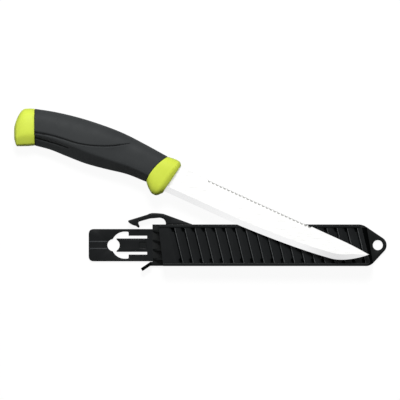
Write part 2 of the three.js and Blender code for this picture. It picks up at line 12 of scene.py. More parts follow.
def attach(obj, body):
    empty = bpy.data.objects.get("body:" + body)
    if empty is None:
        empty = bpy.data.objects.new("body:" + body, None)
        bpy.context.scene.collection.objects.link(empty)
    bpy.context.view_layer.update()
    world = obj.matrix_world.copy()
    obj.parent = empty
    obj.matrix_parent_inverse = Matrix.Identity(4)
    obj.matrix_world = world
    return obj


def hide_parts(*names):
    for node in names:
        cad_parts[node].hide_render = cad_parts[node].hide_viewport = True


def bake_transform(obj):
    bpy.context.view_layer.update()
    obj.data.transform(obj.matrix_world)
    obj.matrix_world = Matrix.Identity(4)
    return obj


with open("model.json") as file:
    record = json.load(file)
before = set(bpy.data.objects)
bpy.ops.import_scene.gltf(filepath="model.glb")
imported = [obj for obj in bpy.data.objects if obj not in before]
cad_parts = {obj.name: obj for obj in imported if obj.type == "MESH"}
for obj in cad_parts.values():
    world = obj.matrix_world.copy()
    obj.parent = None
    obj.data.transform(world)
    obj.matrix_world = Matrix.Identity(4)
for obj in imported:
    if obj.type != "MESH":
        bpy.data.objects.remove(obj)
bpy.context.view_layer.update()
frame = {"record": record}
scene = bpy.context.scene

# Sizes are in millimetres, and a frame's matrix turns them into metres in the row's frame
MM = 0.001

# Gap or lap that keeps two faces from lying in one plane
HAIR = 0.02

# Blade, which laps into the guard. A pull is where a curve is drawn to, as shares of its length and its rise.
BLADE_LENGTH = 150
BLADE_HEIGHT = 21
BLADE_THICKNESS = 2
BLADE_LAP = 1
BEVEL_WIDTH = 4.3
BEVEL_SHARE = 0.45
EDGE_HALF = 0.08
POINT_DROP = 1.2
POINT_LENGTH = 23
POINT_PULL = (0.46, 0.4)
POINT_HEIGHT = 0.3
POINT_GAP = 0.05
BELLY_LENGTH = 95
BELLY_RISE = 6
BELLY_PULL = (0.62, 0.25)
SPINE_RADIUS = 0.18
SPINE_RADIUS_SHARE = 0.2

# Scaling teeth. The notches are shallower on the underside, and the blade has finer sections along the row.
TOOTH_START = 22
TOOTH_END = 103
TOOTH_PITCH = 3.08
TOOTH_LAND = 0.5
NOTCH_DEPTH = 1.5
NOTCH_RIM = 0.2
NOTCH_UNDERSIDE = 0.45
TEETH_ROW = (TOOTH_START - 2, TOOTH_END + 3)
TEETH_STEP = 0.14
PLAIN_GAP = 0.2

# Which faces of the blade are bevel or notch, by the direction that they face and by place. The notches take a
# darker steel, as painted shade.
SIDE_FACING = 0.995
DOWN_FACING = -0.05
NOTCH_FACING = 0.98
NOTCH_LEVELS = (-NOTCH_DEPTH - 0.1, -0.15)
NOTCH_PLACES = (TOOTH_START - 2, TOOTH_END + 2)

# Handle
GUARD_SETBACK = 3.7
GUARD_LENGTH = 12.8
GUARD_FACE_LEAN = 9.7
GUARD_LEAN = 16.3
GUARD_BOW = 1.8
BOW_REACH = 0.2
GRIP_LENGTH = 94
BUTT_LEAN = -24.4
BUTT_LENGTH = 15

# Section of the handle: a squared oval with a soft crease on each lower flank. A flank is its crease, foot
# and foot's thickness, in shares of the section. The grip's flanks start with their place.
SECTION_SQUARENESS = 2.8
FLAT_END = 0.97
CREASE_SOFTNESS = 0.035
GRIP_FLANKS = np.array([(0, 0.55, 0.91, 0.26), (1, 0.36, 0.91, 0.26)])
GUARD_FLANK = (0.74, 0.97, 0.62)
BUTT_FLANK = (0.42, 0.97, 0.56)

# Stations of the handle, as (place, middle line, half height, half thickness). Those of the guard and of the
# butt are changes from the grip's nearest station.
GRIP_STATIONS = np.array([
    (0, -8.6, 12.1, 9.2),
    (0.17, -8.3, 12.8, 9.3),
    (0.36, -9.4, 14.6, 9.6),
    (0.54, -11.2, 15.3, 10.3),
    (0.72, -12.9, 14.8, 10.3),
    (0.87, -14.8, 13.9, 9.8),
    (1, -17.6, 13.4, 9.4),
])
GUARD_CHANGES = np.array([
    (0, 0, 0, 0),
    (0.28, -1.5, 1.9, 0),
    (0.57, -2.7, 3.2, -0.1),
    (0.84, -2.8, 2.4, -0.7),
    (1, -2.2, 0, -2.4),
])
BUTT_CHANGES = np.array([
    (0, 0, 0, 0),
    (0.33, -0.1, 0.3, 0.1),
    (0.58, -0.6, -0.1, -0.2),
    (0.76, -2.2, -1.7, -1.1),
    (0.91, -4.2, -4.5, -2.9),
    (1, -4.2, -8.6, -6.2),
])

# Rounded edges of the handle's pieces. The butt starts with rings of (place, sink), which draw a fine line.
SLEEVE_GAP = 0.06
SLEEVE_EDGE = 0.4
SLEEVE_EDGE_SINK = 0.35
GUARD_EDGE = 0.4
GUARD_EDGE_SINK = 0.3
GUARD_FACE_SINK = 2.5
BUTT_START = ((0, 0.3), (0.45, 0), (0.9, 0), (1.08, 0.12), (1.26, 0))
BUTT_REST = 1.8

# Lines on the sides of the sleeve, as (along, height) points: the long ledge, and the short groove near the
# butt. Each fades out between two places, and the side lies lower below it by its drop.
LEDGE = np.array([
    (-114, -22.6), (-96.4, -18.2), (-72.4, -14.5), (-61.3, -10.7), (-53.4, -7), (-45.3, -1.9), (-38, 3.5),
])
LEDGE_FADE = (-37, -52)
LEDGE_DROP = 0.7
SHORT_GROOVE = np.array([(-114, -25.7), (-106.4, -24.5), (-95.9, -22.9), (-82.1, -21.4), (-76, -20.9)])
SHORT_GROOVE_FADE = (-77, -92)
SHORT_GROOVE_DROP = 0.4
LINE_DEPTH = 0.9
LINE_WIDTH = 0.5
LINE_WIDENING = 0.35
WIDENING_PLACES = (-108, -70)
DROP_SPREAD = 3.2

# Painted shade in each line: a share of its width, up to a share of its fade, away from the handle's middle
DARK_WIDTH = 0.7
DARK_FADE = 0.3
DARK_SIDE = 3

# Sheath cover, with a ribbed panel between two rims. A rim's end is (along, loss of its width).
SHEATH_HALF = 15.15
SHEATH_DEPTH = 17
SEAM = 0.3
PLATE_THICKNESS = 2.4
COVER_BASE = PLATE_THICKNESS + HAIR
COVER_WALL = 1.6
COVER_ROOF = 13.3
COVER_START = 6.1
COVER_END = 155.6
MOUTH_SLOPE = math.tan(math.radians(6.9))
MOUTH_EDGE = 0.3
PANEL_HALF = 12.95
PANEL_DROP = 0.8
PANEL_TOP = SHEATH_DEPTH - PANEL_DROP
PANEL_RADIUS = 0.14
END_SLOPES = (2.4, 4.2)
END_EDGE_DROP = 0.2
END_EDGE_INSET = 0.15
RIM_RADIUS = 0.3
RIM_MOUTH_EDGE = 0.2
RIM_END = ((0, 0), (0.7, 0.06), (1.3, 0.2))

# Ribs. A groove's section is (along, share of its depth), and a pit sinks both of its ends.
RIB_SLOPE = math.tan(math.radians(13.7))
RIB_START = 19.4
RIB_PITCH = 7.4
RIB_COUNT = 19
GROOVE_DEPTH = 1.3
GROOVE_SECTION = (
    (-5.7, 0), (-4.9, 0.04), (-4.3, 0.16), (-3.3, 0.4), (-2.3, 0.66), (-1.4, 0.9), (-1.25, 0.97), (-0.6, 1),
    (-0.5, 0.9), (-0.4, 0.55), (-0.3, 0.38), (0.15, 0.1), (0.5, 0.02), (0.9, 0),
)
PIT_DEPTH = 1.4
PIT_LOSS = 0.5
PIT_START = (-3.3, -1.4)
PIT_END = (-0.9, -0.4)
PIT_SIDES = (9.2, 11)
CROWN_SIDE = (12.7, 12.3, 11, 10.4, 9.8, 9.2, 5)
CROWN = (*CROWN_SIDE, 0, *(-y for y in reversed(CROWN_SIDE)))

# Which faces of the cover take painted shade (a groove's bottom and the end wall) or a painted highlight (the
# lit edge of a rib)
GROOVE_BOTTOM = PANEL_TOP - 0.96 * GROOVE_DEPTH
GROOVE_HALF = PANEL_HALF - 0.2
END_WALL_FOOT = PLATE_THICKNESS + 1
END_WALL_FACING = 0.8
RIB_EDGE_DEPTHS = (0.1, 0.36)
RIB_EDGE_FACING = -0.3
RIB_EDGE_START = RIB_START - 5
PANEL_FACE_HALF = PANEL_HALF - 0.1

# Sheath plate, with its nose, rails and lip
PLATE_EDGE = 0.4
NOSE_TOP_CORNER = (153.6, SHEATH_HALF)
NOSE_BOTTOM_CORNER = (159.4, -SHEATH_HALF)
NOSE_CENTRE = (164.7, 0)
NOSE_RADIUS = 6.4
NOSE_HOLE_RADIUS = 3.65
NOSE_CORNER_RADIUS = 3.2
RAIL_TOP = 8.7
RAIL_WIDTH = 1.2
RAIL_START = 0.3
RAIL_FOOT = PLATE_THICKNESS - 0.2
RAIL_RAMP = 6
RAIL_KNEE = (0.5 * RAIL_RAMP, 0.6 * RAIL_TOP)
RAIL_END_GAP = 4
RAIL_PLACES = (-10.2, -3.4, 3.4, 10.2)
LIP_FOOT = 2
LIP_ANGLE = 34
LIP_LENGTH = 7.1
LIP_THICKNESS = 2.4
LIP_DEPTH = 8
LIP_ROOT_RADIUS = 0.3
LIP_END_RADIUS = 0.5
LIP_EDGE = 0.15
LIP_SHADE_START = -0.4

# Button strap. A bead's profile is (along, share of its height).
STRAP_LENGTH = 46.6
STRAP_HALF = 11.8
STRAP_THICKNESS = 2.2
STRAP_CORNER = 3.8
STRAP_EDGE = 0.35
ROOT_OVERLAP = 0.5
ROOT_CORNER = 0.1
BUTTON_HOLE = (-28.5, 0)
BUTTON_HOLE_RADIUS = 4.4
SLOT_OUTER = 6.85
WING_OUTER = 9.85
WING_ANGLES = (180, 100)
WING_CURVE = ((-28.9, 4.6), (-26.3, 9.3), (-21, WING_OUTER))
WING_END = -17.4
WING_CORNER = 1
BEAD_PLACES = (-2.55, 2.55)
BEAD_HALF = 0.55
BEAD_HEIGHT = 0.4
BEAD_PROFILE = ((-STRAP_LENGTH + 0.6, 0.1), (-STRAP_LENGTH + 1.4, 1), (-33.4, 1), (-32.9, 0.6))
# Faces of the beads above this level take a painted highlight
BEAD_HIGHLIGHT_LEVEL = STRAP_THICKNESS + 0.05

# Tongue in the strap, with a recess near its root
TONGUE_HALF = 4.9
TONGUE_ROOT = -3.9
TONGUE_TIP = -26.3
TONGUE_LEVELS = (0.04, STRAP_THICKNESS - 0.03)
TONGUE_EDGE = 0.25
TONGUE_MOUTH_GAP = 0.15
TONGUE_MOUTH_ANGLE = 58
RECESS_ENDS = (-9.6, -4.6)
RECESS_HALF = 2.2
RECESS_CORNER = 0.5
RECESS_FLOOR = STRAP_THICKNESS - 0.55
RECESS_LAP = 0.3
RECESS_SHADE_ENDS = (RECESS_ENDS[0] - 0.2, RECESS_ENDS[1] + 0.2)
RECESS_SHADE_HALF = RECESS_HALF + 0.1
RECESS_SHADE_LEVELS = (1, TONGUE_LEVELS[1] - 0.05)
WALL_FACING = 0.8

# Latch. Its outline runs anticlockwise from its root, in curves of (start, pull, end) and in plain points.
LATCH_DEPTH = 7
LATCH_EDGE = 0.5
LATCH_ROOT = (9.8, 28.9)
LATCH_RAMP = ((28.9, 15.3), (11, 21.9), (8, 22.9))
LATCH_TOP = ((8, 22.9), (4.4, 23.5), (0.4, 23.5))
LATCH_SHOULDER = ((0.4, 23.5), (-1.8, 23.5), (-3.8, 22.3))
LATCH_ARM_END = (-16.6, 18.4)
LATCH_TIP = ((-17.2, 18.2), (-18.6, 17.6), (-16.7, 16.1))
LATCH_SWEEP = ((-16.4, 15.9), (-14.7, 14.6), (-12.2, 14.1))
LATCH_BARB = ((-10.2, 12.75), (-9.7, 12.9), (-9.35, 13.7))
LATCH_THROAT = ((-9.5, 14.2), (-11.2, 16.9), (-9, 17.4))
LATCH_UNDERSIDE = (-1.9, 19.4)
LATCH_INNER_BEND = ((5, 20), (9.4, 19.8), (9.8, 15.9))

# Where each moulding starts and stops to bend, and where it is cut across so that it can
STRAP_CUTS = np.arange(-0.3, -4, -0.45)
TONGUE_CUTS = np.arange(-4.2, -10, -0.7)
LATCH_CUTS = np.arange(13, 3, -0.8)

# Fineness of the curved faces, in points
EDGE_POINTS = 40
HEEL_POINTS = 14
POINT_POINTS = 60
ROUND_POINTS = 10
FLAT_POINTS = 101
LINE_POINTS = 120
SLEEVE_POINTS = 190
CORE_POINTS = 36
CORNER_POINTS = 5
NOSE_POINTS = 24
HOLE_POINTS = 41
WING_POINTS = 12
WING_CORNER_POINTS = 4
RIDGE_POINTS = 9
TONGUE_MOUTH_POINTS = 13
RECESS_CORNER_POINTS = 4
LATCH_RAMP_POINTS = 10

# Angles around the rounded edge of a slab, in degrees
SLAB_EDGE_ANGLES = (0, 30, 60, 90)

# Limits of an inset: the least turn that a sharp corner counts with, and the least length of a step
LEAST_TURN = 0.35
LEAST_STEP = 1e-9

# Frames of the sheath (x from mouth to nose, back at z 0) and of the knife (x to the point, y to the spine).
# The knife lies as its solids do, with its blade on the upper rim and its butt on the ground. Its tip is up by
# an angle in radians.
joints = {joint["name"]: joint for joint in frame["record"]["behaviour"]["joints"]}
STRAP_HINGE = Vector((-SEAM / 2, 0, STRAP_THICKNESS / 2))
MOUTH = Vector(joints["strap_bend"]["pos_m"]) - STRAP_HINGE * MM
SHEATH = Matrix.Translation(MOUTH) @ Matrix.Scale(MM, 4)
KNIFE_PLACE = Vector((22, 56.4, 15.1911))
KNIFE_TURN = math.radians(24.5)
KNIFE_TIP_UP = 0.0494657
KNIFE = (SHEATH @ Matrix.Translation(KNIFE_PLACE) @ Matrix.Rotation(-KNIFE_TURN, 4, "Z")
         @ Matrix.Rotation(-KNIFE_TIP_UP, 4, "Y"))

# Patterns of the materials: their fineness, and how far they change the roughness and the surface
NOISE_RANGE = (0.25, 0.75)
COLOUR_RANGE = (0.3, 0.7)
MOTTLE_SCALE = 35
SHEEN_SCALE = 160
SHEEN_DETAIL = 6
SHEEN_SPREAD = (-0.06, 0.08)
GRAIN_DETAIL = 3
GRAIN_DEPTH = 0.04
GRAIN_STRENGTH = 0.35
GRINDING_SCALE = 90
GRINDING_DETAIL = 5
GRINDING_SPREAD = (-0.05, 0.08)
GRINDING_DEPTH = 0.004
GRINDING_STRENGTH = 0.1

# Painted shade on the ground edge: its brightness at places along x, in metres
EDGE_SHADES = ((-0.016, 0.9), (0.03, 0.98), (0.07, 0.98), (0.1, 0.8), (0.123, 0.92))

# Stage, in metres: a floor of white paper, a white world, and lights as (name, place, size, power)
FLOOR_HALF = 4
FLOOR_GAP = 0.0002
FLOOR_TONES = ((82, 82, 82), (86, 86, 86))
FLOOR_SCALE = 6
FLOOR_ROUGHNESS = 0.9
FLOOR_GLOW = 0.94
WORLD_GLOW = 0.06
LIGHTS = (("key", (0, 0.75, 1.2), 0.5, 19), ("fill", (-0.9, 0.35, 0.55), 0.16, 1.4))

# Camera, in millimetres from the mouth: the photograph's middle, its width at a level, and the lens
PHOTO_MIDDLE = (34.75, 33)
PHOTO_WIDTH = 292
PHOTO_LEVEL = 8
CAMERA_HEIGHT = 6000
SENSOR_WIDTH = 36
CLIP_METRES = 100


# Materials

def linear(colour):
    """A colour in sRGB steps of 0 to 255, as linear shares."""
    shares = [c / 255 for c in colour]
    return tuple(s / 12.92 if s <= 0.04045 else ((s + 0.055) / 1.055) ** 2.4 for s in shares) + (1,)


class Surface:
    """A material with a principled shader and short ways of adding detail to it."""

    def __init__(self, name, roughness, metallic=0, specular=0.5):
        self.material = bpy.data.materials.new(name)
        self.material.use_nodes = True
        self.nodes = self.material.node_tree.nodes
        self.links = self.material.node_tree.links
        self.shader = self.nodes["Principled BSDF"]
        self.shader.inputs["Metallic"].default_value = metallic
        self.shader.inputs["Roughness"].default_value = roughness
        self.shader.inputs["Specular IOR Level"].default_value = specular
        self.place = self.nodes.new("ShaderNodeTexCoord")

    def noise(self, scale, detail=4, stretch=(1, 1, 1), turn=0):
        mapping = self.nodes.new("ShaderNodeMapping")
        mapping.inputs["Scale"].default_value = stretch
        mapping.inputs["Rotation"].default_value = (0, 0, turn)
        noise = self.nodes.new("ShaderNodeTexNoise")
        noise.inputs["Scale"].default_value = scale
        noise.inputs["Detail"].default_value = detail
        self.links.new(self.place.outputs["Object"], mapping.inputs["Vector"])
        self.links.new(mapping.outputs["Vector"], noise.inputs["Vector"])
        return noise.outputs["Fac"]

    def spread(self, source, low, high):
        spread = self.nodes.new("ShaderNodeMapRange")
        spread.inputs["From Min"].default_value = NOISE_RANGE[0]
        spread.inputs["From Max"].default_value = NOISE_RANGE[1]
        spread.inputs["To Min"].default_value = low
        spread.inputs["To Max"].default_value = high
        self.links.new(source, spread.inputs["Value"])
        return spread.outputs["Result"]

    def colour(self, source, low, high):
        ramp = self.nodes.new("ShaderNodeValToRGB")
        for element, place, tone in zip(ramp.color_ramp.elements, COLOUR_RANGE, (low, high)):
            element.position = place
            element.color = linear(tone)
        self.links.new(source, ramp.inputs["Fac"])
        self.links.new(ramp.outputs["Color"], self.shader.inputs["Base Color"])

    def shade(self, shades):
        """Paints shade: multiplies the colour by the shares given at places along x."""
        first, last = shades[0][0], shades[-1][0]
        apart = self.nodes.new("ShaderNodeSeparateXYZ")
        self.links.new(self.place.outputs["Object"], apart.inputs["Vector"])
        along = self.nodes.new("ShaderNodeMapRange")
        along.inputs["From Min"].default_value = first
        along.inputs["From Max"].default_value = last
        self.links.new(apart.outputs["X"], along.inputs["Value"])
        ramp = self.nodes.new("ShaderNodeValToRGB")
        ramp.color_ramp.interpolation = "EASE"
        for place, share in shades[1:-1]:
            ramp.color_ramp.elements.new((place - first) / (last - first))
        for element, (place, share) in zip(ramp.color_ramp.elements, shades):
            element.color = (share, share, share, 1)
        self.links.new(along.outputs["Result"], ramp.inputs["Fac"])
        mix = self.nodes.new("ShaderNodeMix")
        mix.data_type = "RGBA"
        mix.blend_type = "MULTIPLY"
        mix.inputs["Factor"].default_value = 1
        before = self.shader.inputs["Base Color"].links[0].from_socket
        self.links.new(before, mix.inputs["A"])
        self.links.new(ramp.outputs["Color"], mix.inputs["B"])
        self.links.new(mix.outputs["Result"], self.shader.inputs["Base Color"])

    def roughness(self, source, low, high):
        self.links.new(self.spread(source, low, high), self.shader.inputs["Roughness"])

    def bump(self, source, depth, strength):
        bump = self.nodes.new("ShaderNodeBump")
        bump.inputs["Strength"].default_value = strength
        bump.inputs["Distance"].default_value = depth * MM
        self.links.new(source, bump.inputs["Height"])
        self.links.new(bump.outputs["Normal"], self.shader.inputs["Normal"])


def moulded_plastic(name, low, high, roughness, specular, grain):
    """Plastic mottled between two colours, with a fine grain."""
    surface = Surface(name, roughness, specular=specular)
    surface.colour(surface.noise(MOTTLE_SCALE), low, high)
    sheen = surface.noise(SHEEN_SCALE, SHEEN_DETAIL)
    surface.roughness(sheen, *(roughness + change for change in SHEEN_SPREAD))
    surface.bump(surface.noise(grain, GRAIN_DETAIL), GRAIN_DEPTH, GRAIN_STRENGTH)
    return surface.material


def ground_steel(name, low, high, roughness, stretch, shades=()):
    """Steel with grinding lines. Painted shades may change its brightness along x."""
    surface = Surface(name, roughness, metallic=1)
    lines = surface.noise(GRINDING_SCALE, GRINDING_DETAIL, stretch, KNIFE_TURN)
    surface.colour(lines, low, high)
    if shades:
        surface.shade(shades)
    surface.roughness(lines, *(roughness + change for change in GRINDING_SPREAD))
    surface.bump(lines, GRINDING_DEPTH, GRINDING_STRENGTH)
    return surface.material


LIME = moulded_plastic("lime_plastic", (215, 231, 78), (221, 238, 90), 0.45, 0.08, 1400)
RUBBER = moulded_plastic("soft_grip", (53, 55, 56), (59, 61, 62), 0.55, 0.06, 2200)
BLACK = moulded_plastic("sheath_plastic", (14, 16, 17), (20, 22, 23), 0.32, 0.1, 1100)
PLATE = moulded_plastic("plate_plastic", (12, 14, 14), (17, 19, 19), 0.4, 0.09, 1100)
# Near-black plastic with no sheen: painted shade in the grooves, the pits, the lip's top and the tongue's
# recess
PAINTED_SHADE = moulded_plastic("sheath_painted_shade", (6, 7, 7), (10, 11, 11), 0.6, 0, 1100)
# Darker plastic with no sheen on the cover's end wall: painted shade
END_WALL_SHADE = moulded_plastic("sheath_end_wall_shade", (13, 15, 15), (18, 20, 20), 0.6, 0, 1100)
# Lighter plastic on the lit edges of the ribs: a painted highlight
RIB_HIGHLIGHT = moulded_plastic("rib_painted_highlight", (82, 84, 85), (94, 96, 97), 0.4, 0.1, 1100)
# Lighter plastic on the beads' tops: a painted highlight
BEAD_HIGHLIGHT = moulded_plastic("strap_bead_highlight", (50, 52, 54), (58, 60, 62), 0.4, 0.1, 1100)
# Darker rubber along the lines on the grip: painted shade
GROOVE_SHADE = moulded_plastic("grip_groove_shade", (30, 31, 32), (36, 37, 38), 0.7, 0.02, 2200)
STEEL = ground_steel("blade_steel", (237, 237, 236), (238, 238, 237), 0.24, (1, 30, 30))
# Steel of the ground edge, with painted shade along x
BEVEL_PAINTED_SHADE = ground_steel("edge_steel_painted_shade", (243, 243, 244), (246, 246, 246), 0.22, (30, 1, 30), EDGE_SHADES)
# Darker steel for the notches of the teeth: painted shade
NOTCH_SHADE = ground_steel("notch_shade_steel", (162, 162, 160), (186, 186, 183), 0.4, (30, 30, 1))


# Mesh making

def loft(rings):
    """A closed skin through rings with equally many points, as (points, faces)."""
    sides = len(rings[0])
    points = [tuple(p) for ring in rings for p in ring]
    faces = []
    for ring in range(len(rings) - 1):
        for side in range(sides):
            here = ring * sides + side
            beside = ring * sides + (side + 1) % sides
            faces.append((here, beside, beside + sides, here + sides))
    faces.append(tuple(reversed(range(sides))))
    faces.append(tuple(range(len(points) - sides, len(points))))
    return points, faces


def joined(*shells):
    points, faces = [], []
    for shell_points, shell_faces in shells:
        start = len(points)
        points.extend(shell_points)
        faces.extend(tuple(i + start for i in face) for face in shell_faces)
    return points, faces


def inset(loop, distance):
    """The loop moved to its left: into the material of an anticlockwise outline or a clockwise hole."""
    here = np.array(loop, float)
    before = here - np.roll(here, 1, axis=0)
    after = np.roll(here, -1, axis=0) - here
    sideways = []
    for step in (before, after):
        length = np.linalg.norm(step, axis=1, keepdims=True)
        sideways.append(np.stack((-step[:, 1], step[:, 0]), axis=1) / np.maximum(length, LEAST_STEP))
    turn = 1 + np.sum(sideways[0] * sideways[1], axis=1, keepdims=True)
    return here + distance * (sideways[0] + sideways[1]) / np.maximum(turn, LEAST_TURN)


def slab(loops, lower, upper, edge):
    """A flat shape with depth and rounded edges. Its outline runs anticlockwise, and its holes clockwise."""
    levels = []
    for angle in SLAB_EDGE_ANGLES:
        level = math.radians(angle)
        levels.append((edge * (1 - math.sin(level)), lower + edge * (1 - math.cos(level))))
    levels += [(away, lower + upper - z) for away, z in reversed(levels)]
    bm = bmesh.new()
    ends = {0: [], len(levels) - 1: []}
    for loop in loops:
        rows = []
        for away, z in levels:
            rows.append([bm.verts.new((x, y, z)) for x, y in inset(loop, away)])
        for low, high in zip(rows, rows[1:]):
            for i in range(len(low)):
                after = (i + 1) % len(low)
                bm.faces.new((low[i], low[after], high[after], high[i]))
        for end in ends:
            row = rows[end]
            ends[end] += [bm.edges.get((row[i], row[(i + 1) % len(row)])) for i in range(len(row))]
    for edges in ends.values():
        bmesh.ops.triangle_fill(bm, use_beauty=True, use_dissolve=False, edges=edges)
    bm.verts.index_update()
    shell = [tuple(v.co) for v in bm.verts], [tuple(v.index for v in face.verts) for face in bm.faces]
    bm.free()
    return shell


def add_piece(name, shell, place, material, body=None, cuts=(), sharp=32):
    """A mesh object in the row's frame, cut across at the given places along its own x."""
    points, faces = shell
    mesh = bpy.data.meshes.new(name)
    mesh.from_pydata(points, [], faces)
    bm = bmesh.new()
    bm.from_mesh(mesh)
    for x in cuts:
        everything = bm.verts[:] + bm.edges[:] + bm.faces[:]
        bmesh.ops.bisect_plane(bm, geom=everything, plane_co=(x, 0, 0), plane_no=(1, 0, 0))
    bmesh.ops.recalc_face_normals(bm, faces=bm.faces)
    bm.to_mesh(mesh)
    bm.free()
    mesh.transform(place)
    mesh.materials.append(material)
    mesh.polygons.foreach_set("use_smooth", [True] * len(mesh.polygons))
    mesh.set_sharp_from_angle(angle=math.radians(sharp))
    piece = bpy.data.objects.new(name, mesh)
    scene.collection.objects.link(piece)
    if body:
        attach(piece, body)
    return piece


def add_finish(piece, material):
    """Gives a piece another material, and returns its number for the faces that take it."""
    piece.data.materials.append(material)
    return len(piece.data.materials) - 1


def arc(centre, radius, start, end, count):
    angles = np.radians(np.linspace(start, end, count))
    return [(centre[0] + radius * math.cos(a), centre[1] + radius * math.sin(a)) for a in angles]


def bend(start, control, end, count=8):
    """Points of a curve that leaves start towards control and arrives at end from it."""
    start, control, end = (np.array(p, float) for p in (start, control, end))
    points = []
    for t in np.linspace(0, 1, count):
        points.append(tuple((1 - t) ** 2 * start + 2 * t * (1 - t) * control + t ** 2 * end))
    return points


def rounded(corners, count=7):
    """An outline through (corner, radius) pairs."""
    outline = []
    for i, (corner, radius) in enumerate(corners):
        corner = np.array(corner, float)
        ways = [np.array(corners[(i + step) % len(corners)][0], float) - corner for step in (-1, 1)]
        entry, leave = (corner + way / np.linalg.norm(way) * radius for way in ways)
        outline += bend(entry, corner, leave, count)
    return outline


def smooth(stations, at):
    """A smooth value at a place, through rows of (place, values)."""
    places, values = stations[:, 0], stations[:, 1:]
    slopes = np.gradient(values, places, axis=0)
    i = int(np.clip(np.searchsorted(places, at) - 1, 0, len(places) - 2))
    width = places[i + 1] - places[i]
    t = np.clip((at - places[i]) / width, 0, 1)
    return ((1 + 2 * t) * (1 - t) ** 2 * values[i] + t * (1 - t) ** 2 * width * slopes[i]
            + t ** 2 * (3 - 2 * t) * values[i + 1] + t ** 2 * (t - 1) * width * slopes[i + 1])


def ease(value, start, end):
    """0 before start, 1 after end, and a smooth rise between."""
    share = np.clip((value - start) / (end - start), 0, 1)
    return share * share * (3 - 2 * share)


def within(value, ends):
    return ends[0] < value < ends[1]


# Blade

def guard_face(y):
    middle = GRIP_STATIONS[0, 1] + GUARD_CHANGES[-1, 1]
    return -GUARD_SETBACK + (y - middle) * math.tan(math.radians(GUARD_FACE_LEAN))


def edge_line():
    heel = (guard_face(-BLADE_HEIGHT) - BLADE_LAP, -BLADE_HEIGHT)
    belly_start = np.array((BLADE_LENGTH - BELLY_LENGTH, -BLADE_HEIGHT))
    belly_end = np.array((BLADE_LENGTH - POINT_LENGTH, -BLADE_HEIGHT + BELLY_RISE))
    belly_control = belly_start + BELLY_PULL * (belly_end - belly_start)
    point_control = belly_end + POINT_PULL * np.array((POINT_LENGTH, BELLY_RISE))
    tip = (BLADE_LENGTH, -POINT_DROP)
    return np.array([heel] + bend(belly_start, belly_control, belly_end, EDGE_POINTS)
                    + bend(belly_end, point_control, tip, EDGE_POINTS)[1:])


def spine_height(x):
    along = max(0, (x - BLADE_LENGTH + POINT_LENGTH) / POINT_LENGTH)
    height = -POINT_DROP * along ** 2
    radius = (TOOTH_PITCH - TOOTH_LAND) / 2
    nearest = TOOTH_START + TOOTH_PITCH * round((x - TOOTH_START) / TOOTH_PITCH)
    away = abs(x - nearest)
    if TOOTH_START - radius < x < TOOTH_END + radius and nearest <= TOOTH_END and away < radius:
        height = min(height, -NOTCH_DEPTH + radius - math.sqrt(radius ** 2 - away ** 2))
    return height


def blade_shell():
    edge = edge_line()
    spine_start = guard_face(0) - BLADE_LAP
    heel = np.linspace(spine_start, TEETH_ROW[0] - PLAIN_GAP, HEEL_POINTS)
    teeth = np.arange(*TEETH_ROW, TEETH_STEP)
    point = np.linspace(TEETH_ROW[1] + PLAIN_GAP, BLADE_LENGTH - POINT_GAP, POINT_POINTS)
    half = BLADE_THICKNESS / 2
    rings = []
    for x in np.concatenate((heel, teeth, point)):
        share = (x - spine_start) / (BLADE_LENGTH - spine_start)
        edge_x = edge[0, 0] + share * (BLADE_LENGTH - edge[0, 0])
        low = float(np.interp(edge_x, edge[:, 0], edge[:, 1]))
        top = max(spine_height(x), low + POINT_HEIGHT)
        on_row = within(x, TEETH_ROW)
        span = -low if on_row and top < -NOTCH_RIM else top - low
        width = min(BEVEL_WIDTH, BEVEL_SHARE * span)
        bevel = low + width
        bevel_x = edge_x + (x - edge_x) * width / span
        soft = min(SPINE_RADIUS, SPINE_RADIUS_SHARE * (top - low))
        under = NOTCH_UNDERSIDE * top if on_row else top
        rings.append([
            (x, under, -half + soft), (x, top, half - soft), (x, top - soft, half),
            (bevel_x, bevel, half), (edge_x, low, EDGE_HALF), (edge_x, low, -EDGE_HALF),
            (bevel_x, bevel, -half), (x, under - soft, -half),
        ])
    return loft(rings)


blade = add_piece("blade_ground", blade_shell(), KNIFE, STEEL, "knife", sharp=8)
bevel_shade_finish = add_finish(blade, BEVEL_PAINTED_SHADE)
notch_shade_finish = add_finish(blade, NOTCH_SHADE)
to_knife = KNIFE.inverted()
# Faces of the ground edge take steel with painted shade along it, and the notches' faces a darker steel as
# painted shade
for face in blade.data.polygons:
    normal = (to_knife.to_3x3() @ face.normal).normalized()
    middle = to_knife @ face.center
    on_notch = within(middle.x, NOTCH_PLACES) and within(middle.y, NOTCH_LEVELS)
    if abs(normal.z) < SIDE_FACING and normal.y < DOWN_FACING:
        face.material_index = bevel_shade_finish
    elif on_notch and normal.z < NOTCH_FACING:
        face.material_index = notch_shade_finish
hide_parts("blade")


# Handle

def section_shares():
    """Shares of the half height and half thickness around a section, in even steps on its flat sides."""
    turns = np.linspace(0, math.acos(FLAT_END ** (SECTION_SQUARENESS / 2)), ROUND_POINTS)[:-1]
    rounds = np.cos(turns) ** (2 / SECTION_SQUARENESS)
    down = np.concatenate((rounds, np.linspace(FLAT_END, -FLAT_END, FLAT_POINTS), -rounds[::-1]))
    across = (1 - np.minimum(np.abs(down), 1) ** SECTION_SQUARENESS) ** (1 / SECTION_SQUARENESS)
    return np.concatenate((down, down[-2:0:-1])), np.concatenate((across, -across[-2:0:-1]))


RISE, SIDE = section_shares()


